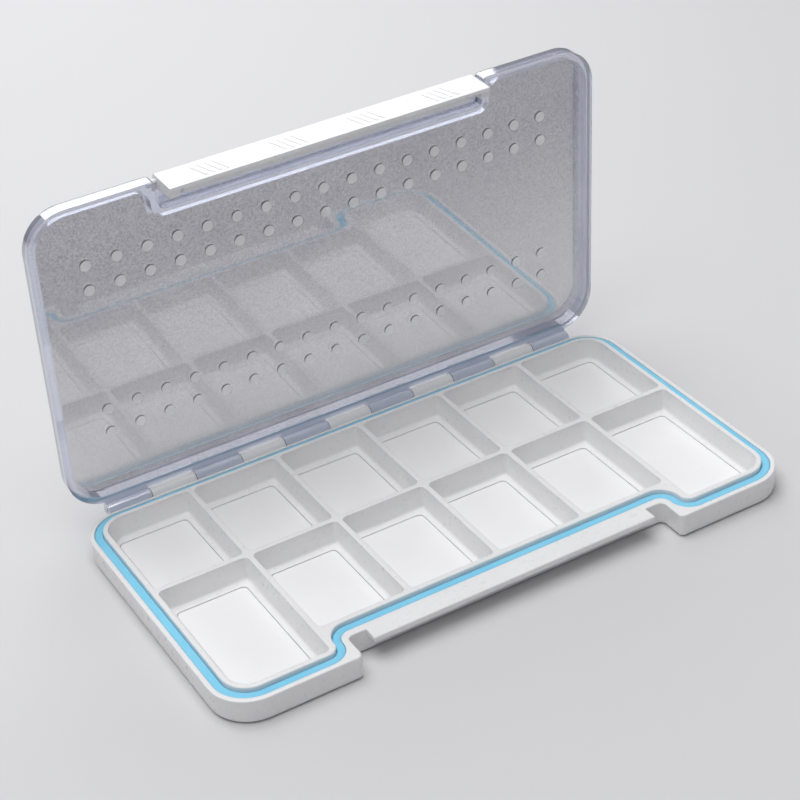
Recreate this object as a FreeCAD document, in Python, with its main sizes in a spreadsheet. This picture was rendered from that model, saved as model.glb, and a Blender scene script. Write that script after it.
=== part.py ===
import FreeCAD, Part
import math
import os
import Sketcher
from FreeCAD import Placement, Rotation, Vector

# Hinged twelve-well box.  Millimetres.  Origin: centre of the tray underside,
# X along the length, Y from the latch side to the hinge side, Z up.

DIMENSIONS = {
    # tray outline
    "half_length": 95.0,
    "front_face": 51.0,
    "back_face": 50.6,
    "corner_radius": 12.5,
    "rim_height": 8.0,
    "bottom_round": 1.6,
    "rim_round": 0.4,
    # latch recess and ledge at the front
    "block_side": 53.6,
    "recess_wall": 41.6,
    "block_corner": 1.8,
    "ledge_half": 47.6,
    "ledge_front": 46.3,
    "ledge_thick": 1.8,
    # seal path, measured on its centre line
    "seal_side": 92.15,
    "seal_front": 48.15,
    "seal_back": 48.15,
    "seal_step": 37.95,
    "seal_step_side": 57.0,
    "seal_corner": 9.65,
    "seal_bend": 5.0,
    "groove_half": 1.35,
    "groove_depth": 2.0,
    "seal_gap": 0.06,
    "seal_sink": 0.05,
    "seal_round": 0.6,
    # raised inner lip, dividers and wells
    "lip_rise": 1.3,
    "lip_thick": 1.6,
    "lip_round": 0.35,
    "well_pitch": 29.82,
    "divider": 1.8,
    "divider_line": 6.3,
    "well_floor": 2.4,
    "well_draft": 8.0,
    "mouth_depth": 0.8,
    "well_corner": 1.6,
    "floor_round": 0.7,
    # floor inserts
    "liner_inset_x": 3.0,
    "liner_inset_y": 3.6,
    "liner_corner": 1.6,
    "liner_thick": 0.9,
    "liner_seat": 1.2,
    "liner_gap": 0.12,
    # hinge
    "hinge_back": 52.8,
    "hinge_height": 7.45,
    "knuckle_radius": 2.05,
    "knuckle_pitch": 31.05,
    "knuckle_length": 14.9,
    "knuckle_gap": 0.25,
    "end_knuckle_out": 84.0,
    "hinge_pin_radius": 0.8,
    "hinge_press_radius": 0.82,
    "hinge_bore_radius": 0.87,
    "hinge_pin_out": 83.4,
    "hinge_pin_split": 0.2,
    "lid_open_angle": 88.0,
    # lid
    "lid_gap": 0.3,
    "lid_top": 13.5,
    "lid_side": 94.8,
    "lid_front": 50.9,
    "lid_back": 50.45,
    "lid_corner": 12.5,
    "lid_wall": 2.4,
    "lid_panel": 1.6,
    "lid_block_side": 54.2,
    "lid_plate_front": 46.4,
    "lid_bend": 4.0,
    "lid_edge_round": 1.5,
    "heel_drop": 2.1,
    "web_top": 10.4,
    # round pips on the inner face of the lid
    "pip_radius": 1.7,
    "pip_height": 0.4,
    "pip_pitch": 9.66,
    "pip_row_gap": 8.25,
    "pip_front_row": 29.5,
    "pip_rear_row": 20.1,
    # latch flap
    "latch_half": 53.0,
    "latch_axis_front": 49.0,
    "latch_axis_height": 11.6,
    "latch_plate": 1.9,
    "latch_boss": 1.9,
    "latch_boss_round": 1.5,
    "latch_taper": 0.7,
    "latch_foot": 1.5,
    "latch_hook_reach": 46.02,
    "latch_hook_top": 5.9,
    "latch_hook_thick": 1.3,
    "latch_cheek": 3.0,
    "latch_cheek_back": 46.9,
    "latch_pin_radius": 0.75,
    "latch_bore_radius": 0.81,
    "latch_pin_inner": 48.5,
    "latch_pin_outer": 56.4,
    "latch_rest_angle": 4.0,
}

COLUMNS = 6
PIP_COLUMNS = 17
BASE_KNUCKLES = 5

doc = FreeCAD.newDocument("box")
sheet = doc.addObject("Spreadsheet::Sheet", "Sheet")
for row, (alias, number) in enumerate(DIMENSIONS.items(), start=1):
    sheet.set("A%d" % row, str(number))
    sheet.setAlias("A%d" % row, alias)
doc.recompute()


class Term:
    """A number together with the sheet expression that drives it."""

    def __init__(self, value, text):
        self.value = value
        self.text = text

    def __add__(self, other):
        return Term(self.value + other.value, "(%s + %s)" % (self.text, other.text))

    def __sub__(self, other):
        return Term(self.value - other.value, "(%s - %s)" % (self.text, other.text))

    def __mul__(self, factor):
        return Term(self.value * factor, "(%s * %.6g)" % (self.text, factor))

    def __neg__(self):
        return Term(-self.value, "(-%s)" % self.text)


def dim(alias):
    return Term(DIMENSIONS[alias], "Sheet.%s" % alias)


ZERO = Term(0.0, "0")


def origin_plane(body, role):
    for feature in body.Origin.OriginFeatures:
        if feature.Role == role:
            return feature
    raise RuntimeError("no plane " + role)


def new_body(name):
    body = doc.addObject("PartDesign::Body", name)
    body.Label = name
    return body


def new_sketch(body, name, role="XY_Plane", offset=None):
    sketch = body.newObject("Sketcher::SketchObject", name)
    sketch.AttachmentSupport = [(origin_plane(body, role), "")]
    sketch.MapMode = "FlatFace"
    if offset is not None:
        sketch.AttachmentOffset = Placement(Vector(0, 0, offset.value), Rotation())
        sketch.setExpression("AttachmentOffset.Base.z", offset.text)
    return sketch


def bind(sketch, constraint, term):
    """Add a dimensional constraint driven by the sheet."""
    index = sketch.addConstraint(constraint)
    sketch.setExpression("Constraints[%d]" % index, term.text)


def locate(sketch, kind, geometry, point, term):
    """Hold one coordinate of a point at a signed distance from the origin."""
    if term.value >= 0:
        bind(sketch, Sketcher.Constraint(kind, -1, 1, geometry, point, term.value), term)
    else:
        bind(sketch, Sketcher.Constraint(kind, geometry, point, -1, 1, -term.value), -term)


def outline(sketch, corners):
    """Closed outline of level and upright lines with rounded corners, anticlockwise."""
    count = len(corners)
    points = [Vector(x.value, y.value, 0) for x, y, _ in corners]
    radii = [radius.value for _, _, radius in corners]
    headings = [(points[(i + 1) % count] - points[i]).normalize() for i in range(count)]
    lines = []
    for i in range(count):
        start = points[i] + headings[i] * radii[i]
        end = points[(i + 1) % count] - headings[i] * radii[(i + 1) % count]
        lines.append(sketch.addGeometry(Part.LineSegment(start, end), False))
        upright = abs(headings[i].x) < abs(headings[i].y)
        sketch.addConstraint(Sketcher.Constraint("Vertical" if upright else "Horizontal", lines[i]))
    for i in range(count):
        before = lines[i - 1]
        after = lines[i]
        if radii[i] == 0:
            sketch.addConstraint(Sketcher.Constraint("Coincident", before, 2, after, 1))
            continue
        turn = headings[i - 1].cross(headings[i]).z
        centre = points[i] - headings[i - 1] * radii[i] + headings[i] * radii[i]
        first = centre - headings[i] * radii[i]
        last = centre + headings[i - 1] * radii[i]
        if turn < 0:
            first, last = last, first
        low = math.atan2(first.y - centre.y, first.x - centre.x)
        high = math.atan2(last.y - centre.y, last.x - centre.x)
        if high <= low:
            high += 2 * math.pi
        circle = Part.Circle(centre, Vector(0, 0, 1), radii[i])
        arc = sketch.addGeometry(Part.ArcOfCircle(circle, low, high), False)
        near, far = (1, 2) if turn > 0 else (2, 1)
        sketch.addConstraint(Sketcher.Constraint("Tangent", before, 2, arc, near))
        sketch.addConstraint(Sketcher.Constraint("Tangent", after, 1, arc, far))
        bind(sketch, Sketcher.Constraint("Radius", arc, radii[i]), corners[i][2])
    for i in range(count):
        x, y, _ = corners[i]
        upright = abs(headings[i].x) < abs(headings[i].y)
        if upright:
            locate(sketch, "DistanceX", lines[i], 1, x)
        else:
            locate(sketch, "DistanceY", lines[i], 1, y)


def rectangle(sketch, left, right, low, high, radius=ZERO):
    outline(sketch, [(left, low, radius), (right, low, radius),
                     (right, high, radius), (left, high, radius)])


def triangle(sketch, points):
    """Closed triangle with each corner held at its own place."""
    corners = [Vector(x.value, y.value, 0) for x, y in points]
    lines = []
    for i in range(3):
        lines.append(sketch.addGeometry(Part.LineSegment(corners[i], corners[(i + 1) % 3]), False))
    for i in range(3):
        sketch.addConstraint(Sketcher.Constraint("Coincident", lines[i - 1], 2, lines[i], 1))
        locate(sketch, "DistanceX", lines[i], 1, points[i][0])
        locate(sketch, "DistanceY", lines[i], 1, points[i][1])


def circle(sketch, x, y, radius):
    shape = Part.Circle(Vector(x.value, y.value, 0), Vector(0, 0, 1), radius.value)
    index = sketch.addGeometry(shape, False)
    bind(sketch, Sketcher.Constraint("Radius", index, radius.value), radius)
    for kind, term in (("DistanceX", x), ("DistanceY", y)):
        if term.value == 0:
            axis = -2 if kind == "DistanceX" else -1
            sketch.addConstraint(Sketcher.Constraint("PointOnObject", index, 3, axis))
        else:
            locate(sketch, kind, index, 3, term)


def pad(body, name, sketch, length, both_ways=False, backwards=False):
    feature = body.newObject("PartDesign::Pad", name)
    feature.Profile = sketch
    feature.Length = length.value
    feature.setExpression("Length", length.text)
    if both_ways:
        feature.SideType = "Symmetric"
    feature.Reversed = backwards
    sketch.Visibility = False
    doc.recompute()
    return feature


def pocket(body, name, sketch, length, taper=None, upwards=False):
    before = body.Shape.Volume
    feature = body.newObject("PartDesign::Pocket", name)
    feature.Profile = sketch
    feature.Length = length.value
    feature.setExpression("Length", length.text)
    feature.Reversed = upwards
    if taper is not None:
        feature.TaperAngle = -taper.value
        feature.setExpression("TaperAngle", (-taper).text)
    sketch.Visibility = False
    doc.recompute()
    if body.Shape.Volume >= before - 1e-6:
        raise RuntimeError(name + " removed nothing")
    return feature


def bore(body, name, sketch):
    """Cut a profile right through the body, both ways from its plane."""
    before = body.Shape.Volume
    feature = body.newObject("PartDesign::Pocket", name)
    feature.Profile = sketch
    feature.Type = "ThroughAll"
    feature.SideType = "Symmetric"
    sketch.Visibility = False
    doc.recompute()
    if body.Shape.Volume >= before - 1e-6:
        raise RuntimeError(name + " removed nothing")
    return feature


def round_edges(body, name, wanted, radius):
    """Round every edge of the current solid that the test picks out."""
    base = body.Tip
    names = ["Edge%d" % (i + 1) for i, edge in enumerate(base.Shape.Edges) if wanted(edge)]
    if not names:
        raise RuntimeError(name + " found no edge")
    feature = body.newObject("PartDesign::Fillet", name)
    feature.Base = (base, names)
    feature.Radius = radius.value
    feature.setExpression("Radius", radius.text)
    doc.recompute()
    if "Invalid" in feature.State:
        raise RuntimeError(name + " failed")
    return feature


def flat_at(edge, height, slack=0.01):
    box = edge.BoundBox
    return abs(box.ZMin - height) < slack and abs(box.ZMax - height) < slack


# ---------------------------------------------------------------- outlines
def stepped_outline(side, back, front, step, step_side, corner, bend_out, bend_in):
    """Rectangle with a wide recess in its front side."""
    return [
        (-side, back, corner),
        (-side, -front, corner),
        (-step_side, -front, bend_out),
        (-step_side, -step, bend_in),
        (step_side, -step, bend_in),
        (step_side, -front, bend_out),
        (side, -front, corner),
        (side, back, corner),
    ]


def seal_outline(shift):
    """Seal centre line moved outward by a term, corners kept concentric."""
    return stepped_outline(
        dim("seal_side") + shift,
        dim("seal_back") + shift,
        dim("seal_front") + shift,
        dim("seal_step") + shift,
        dim("seal_step_side") - shift,
        dim("seal_corner") + shift,
        dim("seal_bend") + shift,
        dim("seal_bend") - shift)


LIP_INNER_SIDE = dim("seal_side") - dim("groove_half") - dim("lip_thick")
LIP_INNER_BACK = dim("seal_back") - dim("groove_half") - dim("lip_thick")
LIP_INNER_FRONT = dim("seal_front") - dim("groove_half") - dim("lip_thick")
LIP_INNER_STEP = dim("seal_step") - dim("groove_half") - dim("lip_thick")
LIP_TOP = dim("rim_height") + dim("lip_rise")
WELLS = [(column, row) for row in ("back", "front") for column in range(COLUMNS)]


def well_limits(column, row):
    """Left, right, low and high edges of a well at the top of its walls."""
    half_wall = dim("divider") * 0.5
    left = dim("well_pitch") * (column - 3) + half_wall
    right = dim("well_pitch") * (column - 2) - half_wall
    if column == 0:
        left = -LIP_INNER_SIDE
    if column == COLUMNS - 1:
        right = LIP_INNER_SIDE
    if row == "back":
        return left, right, dim("divider_line") + half_wall, LIP_INNER_BACK
    outer = column in (0, COLUMNS - 1)
    low = -LIP_INNER_FRONT if outer else -LIP_INNER_STEP
    return left, right, low, dim("divider_line") - half_wall


def well_outline(column, row):
    """Corners of a well mouth; the box's own corners are rounder than the rest."""
    left, right, low, high = well_limits(column, row)
    small = dim("well_corner")
    large = dim("seal_corner") - dim("groove_half") - dim("lip_thick")
    at_left = column == 0
    at_right = column == COLUMNS - 1
    in_front = row == "front"
    return [
        (left, low, large if at_left and in_front else small),
        (right, low, large if at_right and in_front else small),
        (right, high, large if at_right and not in_front else small),
        (left, high, large if at_left and not in_front else small),
    ]


def liner_limits(column, row, gap):
    left, right, low, high = well_limits(column, row)
    inset_x = dim("liner_inset_x") + gap
    inset_y = dim("liner_inset_y") + gap
    return left + inset_x, right - inset_x, low + inset_y, high - inset_y


# ---------------------------------------------------------------- tray
tray = new_body("base_tray")
sketch = new_sketch(tray, "tray_outline")
outline(sketch, stepped_outline(
    dim("half_length"), dim("back_face"), dim("front_face"), dim("recess_wall"),
    dim("block_side"), dim("corner_radius"), dim("block_corner"), dim("block_corner")))
pad(tray, "tray_block", sketch, dim("rim_height"))
round_edges(tray, "tray_foot_round", lambda edge: flat_at(edge, 0.0), dim("bottom_round"))

sketch = new_sketch(tray, "ledge_outline", offset=dim("rim_height") - dim("ledge_thick"))
rectangle(sketch, -dim("ledge_half"), dim("ledge_half"), -dim("ledge_front"),
          -dim("recess_wall") + dim("block_corner"))
pad(tray, "front_ledge", sketch, dim("ledge_thick"))
round_edges(tray, "rim_edge_round",
            lambda edge: flat_at(edge, DIMENSIONS["rim_height"]), dim("rim_round"))

sketch = new_sketch(tray, "lip_outline", offset=dim("rim_height") - dim("groove_depth"))
outline(sketch, seal_outline(-dim("groove_half")))
pad(tray, "inner_lip", sketch, dim("lip_rise") + dim("groove_depth"))
round_edges(tray, "lip_outer_round", lambda edge: flat_at(edge, LIP_TOP.value), dim("lip_round"))

sketch = new_sketch(tray, "groove_outline", offset=dim("rim_height"))
outline(sketch, seal_outline(dim("groove_half")))
outline(sketch, seal_outline(-dim("groove_half")))
pocket(tray, "seal_groove", sketch, dim("groove_depth"))

for row in ("back", "front"):
    sketch = new_sketch(tray, row + "_wells", offset=LIP_TOP)
    for column in range(COLUMNS):
        outline(sketch, well_outline(column, row))
    pocket(tray, row + "_well_mouths", sketch, dim("mouth_depth"))
    sketch = new_sketch(tray, row + "_well_walls", offset=LIP_TOP - dim("mouth_depth"))
    for column in range(COLUMNS):
        outline(sketch, well_outline(column, row))
    pocket(tray, row + "_well_row", sketch, LIP_TOP - dim("mouth_depth") - dim("well_floor"),
           dim("well_draft"))
round_edges(tray, "well_floor_round",
            lambda edge: flat_at(edge, DIMENSIONS["well_floor"]), dim("floor_round"))

sketch = new_sketch(tray, "liner_seats", offset=dim("well_floor"))
for column, row in WELLS:
    rectangle(sketch, *liner_limits(column, row, ZERO), radius=dim("liner_corner"))
pocket(tray, "liner_seat_row", sketch, dim("liner_seat"))


def repeat_along_x(body, name, features, total, count):
    """Repeat features along X over a total distance."""
    feature = body.newObject("PartDesign::LinearPattern", name)
    feature.Originals = features
    x_axis = [f for f in body.Origin.OriginFeatures if f.Role == "X_Axis"][0]
    feature.Direction = (x_axis, [""])
    feature.Length = total.value
    feature.setExpression("Length", total.text)
    feature.Occurrences = count
    body.Tip = feature
    doc.recompute()
    return feature


KNUCKLE_REACH = dim("knuckle_pitch") * ((BASE_KNUCKLES - 1) / 2.0)
first_face = -KNUCKLE_REACH - dim("knuckle_length") * 0.5
sketch = new_sketch(tray, "knuckle_round", "YZ_Plane", first_face)
circle(sketch, dim("hinge_back"), dim("hinge_height"), dim("knuckle_radius"))
knuckle = pad(tray, "base_knuckle", sketch, dim("knuckle_length"))
sketch = new_sketch(tray, "knuckle_web", "YZ_Plane", first_face)
rectangle(sketch, dim("back_face") - dim("rim_round"), dim("hinge_back"),
          dim("hinge_height") - dim("knuckle_radius"), dim("rim_height") - dim("rim_round"))
web = pad(tray, "base_knuckle_web", sketch, dim("knuckle_length"))
repeat_along_x(tray, "base_knuckles", [knuckle, web], KNUCKLE_REACH * 2, BASE_KNUCKLES)
sketch = new_sketch(tray, "hinge_bore_profile", "YZ_Plane")
circle(sketch, dim("hinge_back"), dim("hinge_height"), dim("hinge_press_radius"))
bore(tray, "hinge_bore", sketch)

# ---------------------------------------------------------------- seal
seal = new_body("rim_seal")
seal_foot = dim("rim_height") - dim("groove_depth") + dim("seal_sink")
sketch = new_sketch(seal, "seal_ring", offset=seal_foot)
seal_half = dim("groove_half") - dim("seal_gap")
outline(sketch, seal_outline(seal_half))
outline(sketch, seal_outline(-seal_half))
pad(seal, "seal_strip", sketch, dim("groove_depth") - dim("seal_sink") * 2)
seal_top = DIMENSIONS["rim_height"] - DIMENSIONS["seal_sink"]
round_edges(seal, "seal_top_round", lambda edge: flat_at(edge, seal_top), dim("seal_round"))

# ---------------------------------------------------------------- floor inserts
liners = []
for number, (column, row) in enumerate(WELLS, start=1):
    liner = new_body("well_liner_%02d" % number)
    foot = dim("well_floor") - dim("liner_seat") + dim("seal_sink")
    sketch = new_sketch(liner, "liner_outline_%02d" % number, offset=foot)
    rectangle(sketch, *liner_limits(column, row, dim("liner_gap")), radius=dim("liner_corner"))
    pad(liner, "liner_sheet_%02d" % number, sketch, dim("liner_thick"))
    liners.append(liner)

# ---------------------------------------------------------------- lid, drawn closed
lid = new_body("lid_shell")
lid_foot = dim("rim_height") + dim("lid_gap")
sketch = new_sketch(lid, "lid_outline", offset=lid_foot)
outline(sketch, stepped_outline(
    dim("lid_side"), dim("lid_back"), dim("lid_front"), dim("recess_wall"),
    dim("lid_block_side"), dim("lid_corner"), dim("block_corner"), dim("block_corner")))
pad(lid, "lid_block", sketch, dim("lid_top") - lid_foot)
sketch = new_sketch(lid, "lid_plate_outline", offset=dim("lid_top") - dim("lid_panel"))
rectangle(sketch, -dim("lid_block_side") - dim("block_corner"),
          dim("lid_block_side") + dim("block_corner"),
          -dim("lid_plate_front"), -dim("recess_wall") + dim("block_corner"))
pad(lid, "lid_front_plate", sketch, dim("lid_panel"))


def in_latch_bay(edge):
    """True for the edges of the front plate and of the bay that the latch hangs in."""
    bay_side = DIMENSIONS["lid_block_side"] + DIMENSIONS["block_corner"]
    bay_back = -DIMENSIONS["recess_wall"] + DIMENSIONS["block_corner"]
    box = edge.BoundBox
    return box.YMax < bay_back + 0.01 and abs(box.Center.x) < bay_side + 1.0


round_edges(lid, "lid_edge_round",
            lambda edge: flat_at(edge, DIMENSIONS["lid_top"]) and not in_latch_bay(edge),
            dim("lid_edge_round"))
wall = dim("lid_wall")
sketch = new_sketch(lid, "lid_cavity", offset=dim("lid_top") - dim("lid_panel"))
outline(sketch, stepped_outline(
    dim("lid_side") - wall, dim("lid_back") - wall, dim("lid_front") - wall,
    dim("recess_wall") - wall, dim("lid_block_side") + wall,
    dim("lid_corner") - wall, dim("lid_bend"), dim("lid_bend")))
pocket(lid, "lid_hollow", sketch, dim("lid_top") - dim("lid_panel") - lid_foot)


def pip_rows(name, first_y):
    sketch = new_sketch(lid, name + "_profile", offset=dim("lid_top") - dim("lid_panel"))
    for column in range(PIP_COLUMNS):
        x = dim("pip_pitch") * (column - (PIP_COLUMNS - 1) / 2.0)
        if column == (PIP_COLUMNS - 1) / 2:
            x = ZERO
        circle(sketch, x, first_y, dim("pip_radius"))
        circle(sketch, x, first_y + dim("pip_row_gap"), dim("pip_radius"))
    pad(lid, name, sketch, dim("pip_height"), backwards=True)


pip_rows("front_pips", -dim("pip_front_row"))
pip_rows("rear_pips", dim("pip_rear_row"))


def lid_knuckle(name, left, right):
    """Barrel, heel and web of one lid knuckle between two X positions."""
    sketch = new_sketch(lid, name + "_round", "YZ_Plane", left)
    circle(sketch, dim("hinge_back"), dim("hinge_height"), dim("knuckle_radius"))
    barrel = pad(lid, name + "_barrel", sketch, right - left)
    sketch = new_sketch(lid, name + "_heel_outline", "YZ_Plane", left)
    rectangle(sketch, dim("hinge_back"), dim("hinge_back") + dim("knuckle_radius"),
              dim("hinge_height") - dim("heel_drop"), dim("web_top"))
    heel = pad(lid, name + "_heel", sketch, right - left)
    sketch = new_sketch(lid, name + "_web_outline", "YZ_Plane", left)
    rectangle(sketch, dim("lid_back") - dim("lid_wall") * 0.5, dim("hinge_back"),
              lid_foot, dim("web_top"))
    web = pad(lid, name + "_web", sketch, right - left)
    return [barrel, heel, web]


half_free = (dim("knuckle_pitch") - dim("knuckle_length")) * 0.5 - dim("knuckle_gap")
first_mid = -dim("knuckle_pitch") * 1.5
pieces = lid_knuckle("lid_knuckle", first_mid - half_free, first_mid + half_free)
repeat_along_x(lid, "lid_knuckles", pieces, dim("knuckle_pitch") * 3, BASE_KNUCKLES - 1)
inner_end = KNUCKLE_REACH + dim("knuckle_length") * 0.5 + dim("knuckle_gap")
lid_knuckle("left_end_knuckle", -dim("end_knuckle_out"), -inner_end)
lid_knuckle("right_end_knuckle", inner_end, dim("end_knuckle_out"))
sketch = new_sketch(lid, "lid_bore_profile", "YZ_Plane")
circle(sketch, dim("hinge_back"), dim("hinge_height"), dim("hinge_bore_radius"))
bore(lid, "lid_bore", sketch)

hole_depth = dim("latch_pin_outer") - dim("lid_block_side") + dim("seal_gap")
for name, outer_end in (("left", -dim("lid_block_side") + dim("seal_gap")),
                        ("right", dim("latch_pin_outer"))):
    sketch = new_sketch(lid, name + "_latch_hole_profile", "YZ_Plane", outer_end)
    circle(sketch, -dim("latch_axis_front"), dim("latch_axis_height"), dim("latch_pin_radius"))
    pocket(lid, name + "_latch_hole", sketch, hole_depth)

# ---------------------------------------------------------------- latch flap, drawn shut
latch = new_body("latch_flap")
face = -dim("latch_axis_front") - dim("latch_boss")
plate_back = face + dim("latch_plate")
boss_back = -dim("latch_axis_front") + dim("latch_boss")
boss_low = dim("latch_axis_height") - dim("latch_boss")
boss_high = dim("latch_axis_height") + dim("latch_boss")


def latch_bar(name, low_y, high_y, low_z, high_z, radius, half):
    sketch = new_sketch(latch, name + "_outline", "YZ_Plane")
    rectangle(sketch, low_y, high_y, low_z, high_z, radius)
    return pad(latch, name, sketch, half * 2, both_ways=True)


latch_bar("latch_barrel", face, boss_back, boss_low, boss_high, dim("latch_boss_round"),
          dim("latch_half"))
latch_bar("latch_plate_body", face, plate_back, dim("latch_foot"),
          dim("latch_axis_height"), dim("rim_round"), dim("latch_half"))
latch_bar("latch_hook", plate_back - dim("rim_round") * 2, -dim("latch_hook_reach"),
          dim("latch_hook_top") - dim("latch_hook_thick"), dim("latch_hook_top"),
          dim("rim_round"), dim("ledge_half"))
for side, name in ((-1, "left"), (1, "right")):
    start = -dim("latch_half") if side < 0 else dim("latch_half") - dim("latch_cheek")
    sketch = new_sketch(latch, name + "_cheek_outline", "YZ_Plane", start)
    rectangle(sketch, plate_back - dim("rim_round") * 2, -dim("latch_cheek_back"),
              dim("latch_foot") + dim("rim_round"), dim("latch_axis_height"), dim("rim_round"))
    pad(latch, name + "_cheek", sketch, dim("latch_cheek"))
taper_outline = [(face, dim("latch_axis_height")), (face, dim("latch_foot")),
                 (face + dim("latch_taper"), dim("latch_foot"))]
sketch = new_sketch(latch, "latch_taper_outline", "YZ_Plane", -dim("latch_half"))
triangle(sketch, taper_outline)
pocket(latch, "latch_face_taper", sketch, dim("latch_half") * 2, upwards=True)
sketch = new_sketch(latch, "latch_bore_profile", "YZ_Plane")
circle(sketch, -dim("latch_axis_front"), dim("latch_axis_height"), dim("latch_bore_radius"))
bore(latch, "latch_bore", sketch)

# ---------------------------------------------------------------- pins
HINGE_AXIS = Vector(0, DIMENSIONS["hinge_back"], DIMENSIONS["hinge_height"])
LATCH_AXIS = Vector(0, -DIMENSIONS["latch_axis_front"], DIMENSIONS["latch_axis_height"])


def round_pin(name, left, right, y, z, radius):
    pin = new_body(name)
    sketch = new_sketch(pin, name + "_profile", "YZ_Plane", left)
    circle(sketch, y, z, radius)
    pad(pin, name + "_rod", sketch, right - left)
    return pin


hinge_y = dim("hinge_back")
hinge_z = dim("hinge_height")
hinge_pins = [
    round_pin("hinge_pin_left", -dim("hinge_pin_out"), -dim("hinge_pin_split"),
              hinge_y, hinge_z, dim("hinge_pin_radius")),
    round_pin("hinge_pin_right", dim("hinge_pin_split"), dim("hinge_pin_out"),
              hinge_y, hinge_z, dim("hinge_pin_radius")),
]
latch_pins = [
    round_pin("latch_pin_left", -dim("latch_pin_outer"), -dim("latch_pin_inner"),
              -dim("latch_axis_front"), dim("latch_axis_height"), dim("latch_pin_radius")),
    round_pin("latch_pin_right", dim("latch_pin_inner"), dim("latch_pin_outer"),
              -dim("latch_axis_front"), dim("latch_axis_height"), dim("latch_pin_radius")),
]

# ---------------------------------------------------------------- rest pose
X_AXIS = Vector(1, 0, 0)
opened = Placement(Vector(), Rotation(X_AXIS, -DIMENSIONS["lid_open_angle"]), HINGE_AXIS)
swung = Placement(Vector(), Rotation(X_AXIS, -DIMENSIONS["latch_rest_angle"]), LATCH_AXIS)
for body in [lid] + latch_pins:
    body.Placement = opened
latch.Placement = opened.multiply(swung)
doc.recompute()

# ---------------------------------------------------------------- output
bodies = [tray, seal] + liners + [lid, latch] + hinge_pins + latch_pins
for item in doc.Objects:
    if "Invalid" in item.State or "Error" in item.State:
        raise RuntimeError(item.Name + " is in state " + str(item.State))
os.makedirs("parts", exist_ok=True)
for body in bodies:
    shape = body.Shape
    if shape.isNull() or not shape.isValid() or len(shape.Solids) != 1:
        raise RuntimeError("%s: %d solids" % (body.Label, len(shape.Solids)))
    shape.exportStep("parts/%s.step" % body.Label)
    print(body.Label, "volume %.1f" % shape.Volume)
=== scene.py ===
"""Looks of the hinged twelve-well palette box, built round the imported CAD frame. Units are metres."""

import math

import bpy
from mathutils import Matrix, Vector


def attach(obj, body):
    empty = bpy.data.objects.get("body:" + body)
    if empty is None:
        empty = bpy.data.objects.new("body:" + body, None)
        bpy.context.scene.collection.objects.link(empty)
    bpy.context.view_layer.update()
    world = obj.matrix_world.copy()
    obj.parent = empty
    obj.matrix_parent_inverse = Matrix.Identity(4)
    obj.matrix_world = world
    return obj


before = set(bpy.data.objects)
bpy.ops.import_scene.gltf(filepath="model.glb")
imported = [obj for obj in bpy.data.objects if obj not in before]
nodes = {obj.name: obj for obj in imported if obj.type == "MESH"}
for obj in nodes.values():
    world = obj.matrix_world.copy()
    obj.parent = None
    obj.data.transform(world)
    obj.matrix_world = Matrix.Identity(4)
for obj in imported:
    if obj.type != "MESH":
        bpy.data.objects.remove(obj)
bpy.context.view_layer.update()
MM = 0.001

# ------------------------------------------------------------------ sizes shared with the CAD part
HINGE = Vector((0.0, 52.8, 7.45)) * MM
LATCH_SHUT = Vector((0.0, -49.0, 11.6)) * MM
LID_OPEN = math.radians(88.0)
LATCH_OUT = math.radians(4.0)
PIP_TOP = 11.5 * MM      # height of the pip faces in the shut lid
PANEL_INNER = 11.9 * MM  # height of the panel's inner face in the shut lid
FLAP_FACE = -50.9 * MM   # outer face of the shut flap, where it starts to lean in
FLAP_TOP = 11.6 * MM
FLAP_FOOT = 1.5 * MM
FLAP_TAPER = 0.7 * MM    # how far the face leans in at its foot
CAVITY_SIDE = 92.4 * MM  # inner faces of the lid's walls
CAVITY_NEAR = 4.75 * MM  # distances from the hinge
CAVITY_FAR = 101.3 * MM
BAY_SIDE = 56.6 * MM     # wall round the latch bay
BAY_FAR = 92.0 * MM

# ------------------------------------------------------------------ shut pose to rest pose
TURN_LID = Matrix.Rotation(-LID_OPEN, 4, "X")
OPENED = Matrix.Translation(HINGE) @ TURN_LID @ Matrix.Translation(-HINGE)
TURN_LATCH = Matrix.Rotation(-LATCH_OUT, 4, "X")
SWUNG = Matrix.Translation(LATCH_SHUT) @ TURN_LATCH @ Matrix.Translation(-LATCH_SHUT)
LID_NORMAL = (TURN_LID @ Vector((0, 0, 1, 0))).to_3d()
LID_ALONG = (TURN_LID @ Vector((0, -1, 0, 0))).to_3d()

# ------------------------------------------------------------------ values the materials share
PLASTIC_IOR = 1.5
GRAIN_DEPTH = 0.006 * MM
BEVEL_SAMPLES = 6
MIX_FACTOR, MIX_FIRST, MIX_SECOND = 0, 6, 7  # colour sockets of the Mix node


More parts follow.
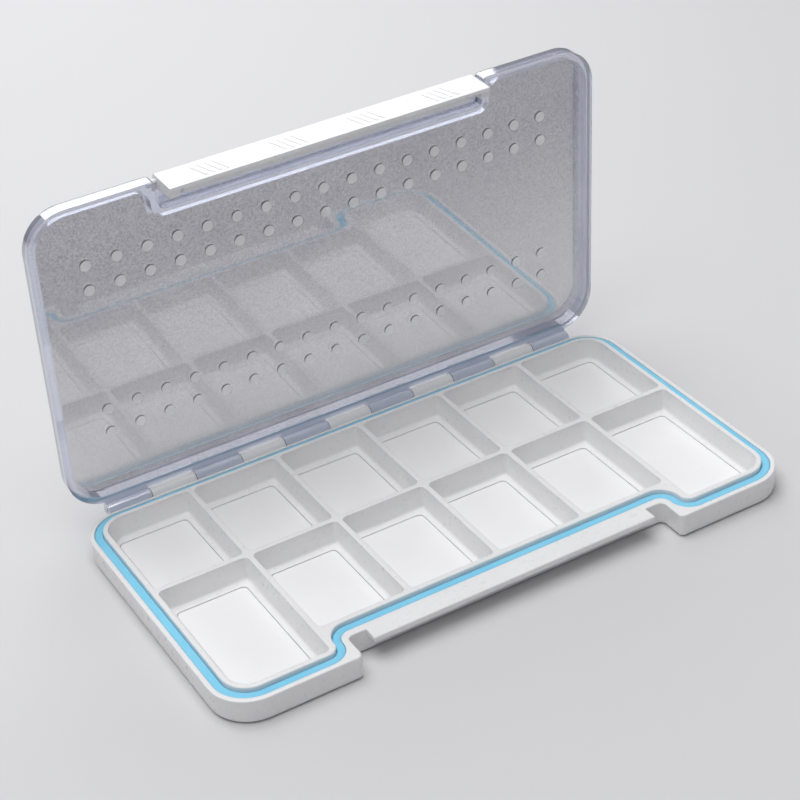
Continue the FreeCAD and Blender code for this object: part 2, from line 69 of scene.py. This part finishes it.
# ------------------------------------------------------------------ node helpers
class Graph:
    """Short way to add and link shader nodes."""

    def __init__(self, name):
        self.material = bpy.data.materials.new(name)
        self.material.use_nodes = True
        self.tree = self.material.node_tree
        self.tree.nodes.clear()
        self.out = self.tree.nodes.new("ShaderNodeOutputMaterial")
        self.shader = self.tree.nodes.new("ShaderNodeBsdfPrincipled")
        self.tree.links.new(self.shader.outputs[0], self.out.inputs["Surface"])
        self.place = self.tree.nodes.new("ShaderNodeTexCoord")

    def put(self, socket, value):
        """Link the socket to another node's output, or set its value; a colour has three numbers."""
        if hasattr(value, "is_output"):
            self.tree.links.new(value, socket)
        elif isinstance(value, tuple):
            socket.default_value = (*value, 1.0)
        else:
            socket.default_value = value

    def feed(self, node, name, value):
        self.put(node.inputs[name], value)

    def noise(self, scale, detail=3.0, roughness=0.55):
        node = self.tree.nodes.new("ShaderNodeTexNoise")
        self.feed(node, "Vector", self.place.outputs["Object"])
        self.feed(node, "Scale", scale)
        self.feed(node, "Detail", detail)
        self.feed(node, "Roughness", roughness)
        return node.outputs["Fac"]

    def remap(self, value, low, high, out_low, out_high):
        node = self.tree.nodes.new("ShaderNodeMapRange")
        self.feed(node, "Value", value)
        self.feed(node, "From Min", low)
        self.feed(node, "From Max", high)
        self.feed(node, "To Min", out_low)
        self.feed(node, "To Max", out_high)
        return node.outputs[0]

    def math(self, kind, first, second=0.0):
        node = self.tree.nodes.new("ShaderNodeMath")
        node.operation = kind
        self.put(node.inputs[0], first)
        self.put(node.inputs[1], second)
        return node.outputs[0]

    def both(self, *masks):
        """Product of masks: 1 only where all of them are 1."""
        product = masks[0]
        for mask in masks[1:]:
            product = self.math("MULTIPLY", product, mask)
        return product

    def dot(self, vector, fixed):
        node = self.tree.nodes.new("ShaderNodeVectorMath")
        node.operation = "DOT_PRODUCT"
        self.put(node.inputs[0], vector)
        node.inputs[1].default_value = fixed
        return node.outputs["Value"]

    def mix(self, factor, first, second):
        node = self.tree.nodes.new("ShaderNodeMix")
        node.data_type = "RGBA"
        self.put(node.inputs[MIX_FACTOR], factor)
        self.put(node.inputs[MIX_FIRST], first)
        self.put(node.inputs[MIX_SECOND], second)
        return node.outputs[2]

    def bump(self, height, strength, distance, normal):
        node = self.tree.nodes.new("ShaderNodeBump")
        self.feed(node, "Strength", strength)
        self.feed(node, "Distance", distance)
        self.feed(node, "Height", height)
        self.feed(node, "Normal", normal)
        return node.outputs[0]

    def soft_edges(self, radius):
        node = self.tree.nodes.new("ShaderNodeBevel")
        node.samples = BEVEL_SAMPLES
        self.feed(node, "Radius", radius)
        return node.outputs[0]


# ------------------------------------------------------------------ moulded plastic, sheet and rubber
def moulded(name, light, dark, rough, edge=0.3 * MM, grain=0.35, scatter=0.0, level=0.5):
    """Moulded plastic: slow tone variation, fine grain, rubbed spots and soft edges."""
    g = Graph(name)
    tone = g.noise(38.0, 4.0)
    speck = g.noise(5200.0, 2.0)
    rub = g.noise(700.0, 5.0, 0.6)
    colour = g.mix(g.remap(tone, 0.35, 0.65, 0.0, 1.0), dark, light)
    speck_colour = tuple(0.9 * channel for channel in dark)
    colour = g.mix(g.remap(speck, 0.60, 0.80, 0.0, 0.10), colour, speck_colour)
    smoothest, roughest = rough
    g.feed(g.shader, "Base Color", colour)
    g.feed(g.shader, "Roughness", g.remap(rub, 0.30, 0.72, smoothest, roughest))
    g.feed(g.shader, "Normal", g.bump(speck, grain, GRAIN_DEPTH, g.soft_edges(edge)))
    g.feed(g.shader, "Specular IOR Level", level)
    g.feed(g.shader, "IOR", PLASTIC_IOR)
    if scatter:
        g.feed(g.shader, "Subsurface Weight", scatter)
        g.shader.inputs["Subsurface Radius"].default_value = (1.0, 0.9, 0.85)
        g.feed(g.shader, "Subsurface Scale", 0.9 * MM)
    return g.material


# ------------------------------------------------------------------ clear plastic of the lid
# lavender tint of the clear plastic; through the walls' diffuse share it also shows as painted light
WALL_COLOUR = (0.78, 0.82, 0.97)
# painted reflection: the pip faces are painted pale in place of the bright surroundings mirrored in the
# clear domes; painted shade: their sides are painted near black in place of the dark rims
PIP_PAINTED_REFLECTION_COLOUR = (0.80, 0.80, 0.82)
PIP_SIDE_PAINTED_SHADE_COLOUR = (0.06, 0.06, 0.07)
SMOKE_DARK = (0.37, 0.365, 0.40)
SMOKE_LIGHT = (0.44, 0.435, 0.465)
SPECKLE_COLOUR = (0.17, 0.16, 0.20)
# painted light: pale colour the panel is painted towards beside the hinge, standing in for the wells
# mirrored there and the lit floor behind the lid
HINGE_PAINTED_LIGHT_COLOUR = (0.86, 0.86, 0.87)
HINGE_PAINTED_LIGHT_SHARE = 0.50    # how far the panel's tint goes towards that colour beside the hinge, as painted light
WALL_PAINTED_LIGHT_SHARE = 0.32      # share of the walls that light does not pass through; painted light, showing the pale wall colour lit in place of the bright surroundings seen through clear walls
KNUCKLE_PAINTED_LIGHT_SHARE = 0.80   # the same for the knuckles, painted light that lightens them where they sit in shade
PIP_PAINTED_LIGHT_SHARE = 0.5        # the same for the pip faces, so their painted reflection shows
PIP_ROUGHNESS = 0.35       # added to the panel's roughness
COAT_IOR = 2.6             # above a real plastic's 1.5, so that the wells mirror clearly in the lid
COAT_ROUGHNESS = 0.035
MASK_SLACK = 0.05 * MM     # keeps the masks off the faces they end at
PIP_FACE_BAND = 0.08 * MM  # how near a pip's height counts as its face
PANEL_MARGIN = 0.5 * MM    # how far below the pips the panel's mask starts
BAY_RAMP = 1.0 * MM        # width of the step in the mask beside the latch bay
PIP_FREE_SIDE = 6.0 * MM   # strip along each side wall that has no pips
PAINTED_LIGHT_START = 12.0 * MM     # distances from the hinge between which the painted light fades
PAINTED_LIGHT_END = 80.0 * MM
KNUCKLE_END = 2.5 * MM     # distances from the hinge between which knuckles become walls
WALL_START = 4.7 * MM


def lid_regions(g):
    """Masks of the lid's parts, from 0 to 1, and the distance along the lid from the hinge."""
    spot = g.place.outputs["Object"]
    facing = g.math("ABSOLUTE", g.dot(g.place.outputs["Normal"], LID_NORMAL))
    height = g.math("SUBTRACT", g.dot(spot, LID_NORMAL), HINGE.dot(LID_NORMAL))
    along = g.math("SUBTRACT", g.dot(spot, LID_ALONG), HINGE.dot(LID_ALONG))
    across = g.math("ABSOLUTE", g.dot(spot, (1.0, 0.0, 0.0)))
    pip_height = PIP_TOP - HINGE.z
    panel_height = PANEL_INNER - HINGE.z

    far = g.remap(across, BAY_SIDE, BAY_SIDE + BAY_RAMP, BAY_FAR, CAVITY_FAR)
    inside = g.both(g.math("LESS_THAN", across, CAVITY_SIDE),
                    g.math("LESS_THAN", along, far),
                    g.math("GREATER_THAN", along, CAVITY_NEAR))
    flat = g.remap(facing, 0.80, 0.97, 0.0, 1.0)
    panel = g.both(flat, inside, g.math("GREATER_THAN", height, pip_height - PANEL_MARGIN))

    off_pip = g.math("ABSOLUTE", g.math("SUBTRACT", height, pip_height))
    pip = g.both(g.math("LESS_THAN", off_pip, PIP_FACE_BAND), panel)

    pip_side_shade = g.both(g.math("GREATER_THAN", height, pip_height - MASK_SLACK),
                      g.math("LESS_THAN", height, panel_height - MASK_SLACK),
                      g.math("LESS_THAN", facing, 0.5),
                      inside,
                      g.math("LESS_THAN", across, CAVITY_SIDE - PIP_FREE_SIDE))
    return panel, pip, pip_side_shade, along


def smoky_tint(g, haze, along):
    """Grey of the panel: cloudy, speckled, and painted lighter towards the hinge, as painted light in place
    of the wells mirrored in the lid and the lit floor behind it.
    """
    cloud = g.noise(30.0, 4.0)
    smoke = g.mix(g.remap(cloud, 0.35, 0.65, 0.0, 1.0), SMOKE_DARK, SMOKE_LIGHT)
    smoke = g.mix(g.remap(haze, 0.45, 0.58, 0.0, 1.0), smoke, SPECKLE_COLOUR)
    # painted light: paler beside the hinge, fading out further along the lid
    hinge_painted_light = g.remap(along, PAINTED_LIGHT_START, PAINTED_LIGHT_END, HINGE_PAINTED_LIGHT_SHARE, 0.0)
    return g.mix(hinge_painted_light, smoke, HINGE_PAINTED_LIGHT_COLOUR)


def clear_plastic():
    """Clear moulded plastic: smoky speckled panel, pips with a painted reflection on their faces and painted
    shade on their sides, cool clear walls with a share of painted light.
    """
    g = Graph("clear_plastic")
    panel, pip, pip_side_shade, along = lid_regions(g)
    haze = g.noise(1500.0, 4.0, 0.7)

    colour = g.mix(panel, WALL_COLOUR, smoky_tint(g, haze, along))
    # painted reflection on the pip faces, painted shade on the pip sides
    colour = g.mix(pip, colour, PIP_PAINTED_REFLECTION_COLOUR)
    colour = g.mix(pip_side_shade, colour, PIP_SIDE_PAINTED_SHADE_COLOUR)
    g.feed(g.shader, "Base Color", colour)

    scuff = g.remap(g.noise(420.0, 6.0, 0.7), 0.45, 0.80, 0.015, 0.09)
    g.feed(g.shader, "Roughness", g.math("ADD", scuff, g.math("MULTIPLY", pip, PIP_ROUGHNESS)))

    # painted light: walls, knuckles and pip faces get a share that light does not pass through, so their
    # pale colour shows lit in place of what clear plastic would pass
    painted_light_share = g.remap(along, KNUCKLE_END, WALL_START, KNUCKLE_PAINTED_LIGHT_SHARE, WALL_PAINTED_LIGHT_SHARE)
    wall = g.both(g.math("SUBTRACT", 1.0, panel), painted_light_share)
    painted_diffuse = g.math("MAXIMUM", wall, g.math("MULTIPLY", pip, PIP_PAINTED_LIGHT_SHARE))
    g.feed(g.shader, "Transmission Weight", g.math("SUBTRACT", 1.0, painted_diffuse))

    g.feed(g.shader, "IOR", PLASTIC_IOR)
    g.feed(g.shader, "Coat Weight", 1.0)
    g.feed(g.shader, "Coat Roughness", COAT_ROUGHNESS)
    g.feed(g.shader, "Coat IOR", COAT_IOR)
    g.feed(g.shader, "Normal", g.bump(haze, 0.08, GRAIN_DEPTH, g.soft_edges(0.25 * MM)))
    return g.material


# ------------------------------------------------------------------ a material for every node
TRAY = moulded("tray_plastic", (0.895, 0.895, 0.895), (0.875, 0.875, 0.877), (0.26, 0.33),
               edge=0.4 * MM, scatter=0.18)
FLAP = moulded("flap_plastic", (0.87, 0.87, 0.875), (0.83, 0.83, 0.84), (0.24, 0.38), scatter=0.12)
LINER = moulded("liner_sheet", (0.925, 0.925, 0.925), (0.90, 0.90, 0.903), (0.62, 0.78),
                edge=0.05 * MM, grain=0.5, level=0.3)
SEAL = moulded("seal_rubber", (0.27, 0.70, 0.92), (0.23, 0.65, 0.89), (0.38, 0.50),
               edge=0.5 * MM, scatter=0.15, level=0.4)
CLEAR = clear_plastic()

LOOKS = {"base_tray": TRAY, "hinge_pin_left": TRAY, "hinge_pin_right": TRAY,
         "rim_seal": SEAL, "lid_shell": CLEAR,
         "latch_flap": FLAP, "latch_pin_left": FLAP, "latch_pin_right": FLAP}
for name, obj in nodes.items():
    look = LINER if name.startswith("well_liner") else LOOKS[name]
    obj.data.materials.clear()
    obj.data.materials.append(look)

# ------------------------------------------------------------------ grip ribs on the flap, in millimetres
RIB_GROUPS = (-38.25, -12.75, 12.75, 38.25)  # middle of each group along the flap
RIBS_PER_GROUP = 4
RIB_PITCH = 2.3
RIB_LENGTH = 7.4
RIB_WIDTH = 0.95
RIB_HEIGHT = 0.32
RIB_SINK = 0.08
RIB_SLANT = math.radians(18.0)
STEPS_LONG = 14
STEPS_WIDE = 6


def rib_points():
    """Low rounded ridge on the plane z = 0: its upper surface, then its sunken foot."""
    points = []
    for foot in (False, True):
        for i in range(STEPS_LONG + 1):
            u = math.cos(math.pi * i / STEPS_LONG)
            for j in range(STEPS_WIDE + 1):
                v = math.cos(math.pi * j / STEPS_WIDE)
                rise = -RIB_SINK if foot else RIB_HEIGHT * (1 - v * v) * (1 - u ** 8)
                points.append(Vector((0.5 * RIB_WIDTH * v, 0.5 * RIB_LENGTH * u, rise)))
    return points


def rib_faces():
    """Upper surface and foot of the ridge, joined by a wall along each side and end."""
    row = STEPS_WIDE + 1
    foot = row * (STEPS_LONG + 1)
    faces = []
    for i in range(STEPS_LONG):
        for j in range(STEPS_WIDE):
            a = i * row + j
            faces.append((a, a + 1, a + row + 1, a + row))
            faces.append((foot + a, foot + a + row, foot + a + row + 1, foot + a + 1))
        for a, b in ((i * row, (i + 1) * row), ((i + 1) * row + STEPS_WIDE, i * row + STEPS_WIDE)):
            faces.append((a, b, foot + b, foot + a))
    for j in range(STEPS_WIDE):
        faces.append((j + 1, j, foot + j, foot + j + 1))
        a = STEPS_LONG * row + j
        faces.append((a, a + 1, foot + a + 1, foot + a))
    return faces


def flap_ribs():
    """Groups of slanted ribs on the flap's outer face."""
    lean = math.atan2(FLAP_TAPER, FLAP_TOP - FLAP_FOOT)
    middle = 0.5 * (FLAP_TOP + FLAP_FOOT)
    face_y = FLAP_FACE + 0.5 * FLAP_TAPER
    # ridge plane to flap face: ridge length runs up the face, ridge height points outward
    face = Matrix.Rotation(lean, 4, "X") @ Matrix.Rotation(math.radians(90.0), 4, "X")
    slant = Matrix.Rotation(RIB_SLANT, 4, "Z")
    shape = rib_points()
    points, faces = [], []
    for centre in RIB_GROUPS:
        for k in range(RIBS_PER_GROUP):
            x = centre + RIB_PITCH * (k - 0.5 * (RIBS_PER_GROUP - 1))
            place = OPENED @ SWUNG @ Matrix.Translation(Vector((x * MM, face_y, middle))) @ face @ slant
            start = len(points)
            points += [place @ (p * MM) for p in shape]
            faces += [tuple(start + n for n in corners) for corners in rib_faces()]
    mesh = bpy.data.meshes.new("flap_ribs")
    mesh.from_pydata(points, [], faces)
    mesh.polygons.foreach_set("use_smooth", [True] * len(mesh.polygons))
    mesh.materials.append(FLAP)
    mesh.validate()
    obj = bpy.data.objects.new("flap_ribs", mesh)
    bpy.context.collection.objects.link(obj)
    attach(obj, "latch")


flap_ribs()

# ------------------------------------------------------------------ floor
FLOOR_HALF = 6.0
floor_mesh = bpy.data.meshes.new("floor")
floor_mesh.from_pydata([(-FLOOR_HALF, -FLOOR_HALF, 0), (FLOOR_HALF, -FLOOR_HALF, 0),
                        (FLOOR_HALF, FLOOR_HALF, 0), (-FLOOR_HALF, FLOOR_HALF, 0)], [], [(0, 1, 2, 3)])
floor = bpy.data.objects.new("floor", floor_mesh)
bpy.context.collection.objects.link(floor)
paper = Graph("paper")
paper.feed(paper.shader, "Base Color", paper.mix(paper.noise(3.0), (0.67, 0.67, 0.675), (0.69, 0.69, 0.695)))
paper.feed(paper.shader, "Roughness", 0.9)
paper.feed(paper.shader, "Specular IOR Level", 0.1)
floor_mesh.materials.append(paper.material)


# ------------------------------------------------------------------ light
def softbox(name, where, aim, size, power, tint=(1.0, 1.0, 1.0)):
    """Rectangular area light at one place, turned towards another; power in watts."""
    light = bpy.data.lights.new(name, "AREA")
    light.shape = "RECTANGLE"
    light.size, light.size_y = size
    light.energy = power
    light.color = tint
    obj = bpy.data.objects.new(name, light)
    obj.location = where
    direction = Vector(aim) - Vector(where)
    obj.rotation_euler = direction.to_track_quat("-Z", "Y").to_euler()
    bpy.context.collection.objects.link(obj)


softbox("key", (-0.15, 0.05, 1.05), (0.0, 0.0, 0.0), (1.1, 0.9), 9.8)
softbox("side", (-1.0, -0.7, 0.55), (0.0, 0.0, 0.03), (0.7, 0.5), 0.5, (0.96, 0.96, 1.0))
softbox("behind", (0.1, 0.75, 0.60), (0.0, 0.16, 0.0), (0.8, 0.5), 3.2, (0.98, 0.98, 1.0))

world = bpy.data.worlds.new("studio")
world.use_nodes = True
sky = world.node_tree.nodes["Background"]
sky.inputs["Color"].default_value = (0.93, 0.93, 1.0, 1.0)
sky.inputs["Strength"].default_value = 0.20
scene = bpy.context.scene
scene.world = world
scene.view_settings.view_transform = "Standard"
scene.view_settings.look = "None"

# ------------------------------------------------------------------ camera
AZIMUTH = math.radians(-27.944)
ELEVATION = math.radians(33.075)
ROLL = math.radians(-4.652)
CAMERA_PLACE = Vector((-241.52, -434.35, 369.80)) * MM
forward = Vector((-math.sin(AZIMUTH) * math.cos(ELEVATION),
                  math.cos(AZIMUTH) * math.cos(ELEVATION), -math.sin(ELEVATION)))
level_right = Vector((math.cos(AZIMUTH), math.sin(AZIMUTH), 0.0))
level_up = level_right.cross(forward)
right = math.cos(ROLL) * level_right + math.sin(ROLL) * level_up
up = -math.sin(ROLL) * level_right + math.cos(ROLL) * level_up
lens = bpy.data.cameras.new("camera")
lens.sensor_width = 36.0
lens.lens = 92.055
lens.shift_x = 0.00871
lens.shift_y = -0.00862
lens.clip_start = 0.01
lens.clip_end = 50.0
camera = bpy.data.objects.new("camera", lens)
turn = Matrix((right, up, -forward)).transposed().to_4x4()
camera.matrix_world = Matrix.Translation(CAMERA_PLACE) @ turn
bpy.context.collection.objects.link(camera)
scene.camera = camera
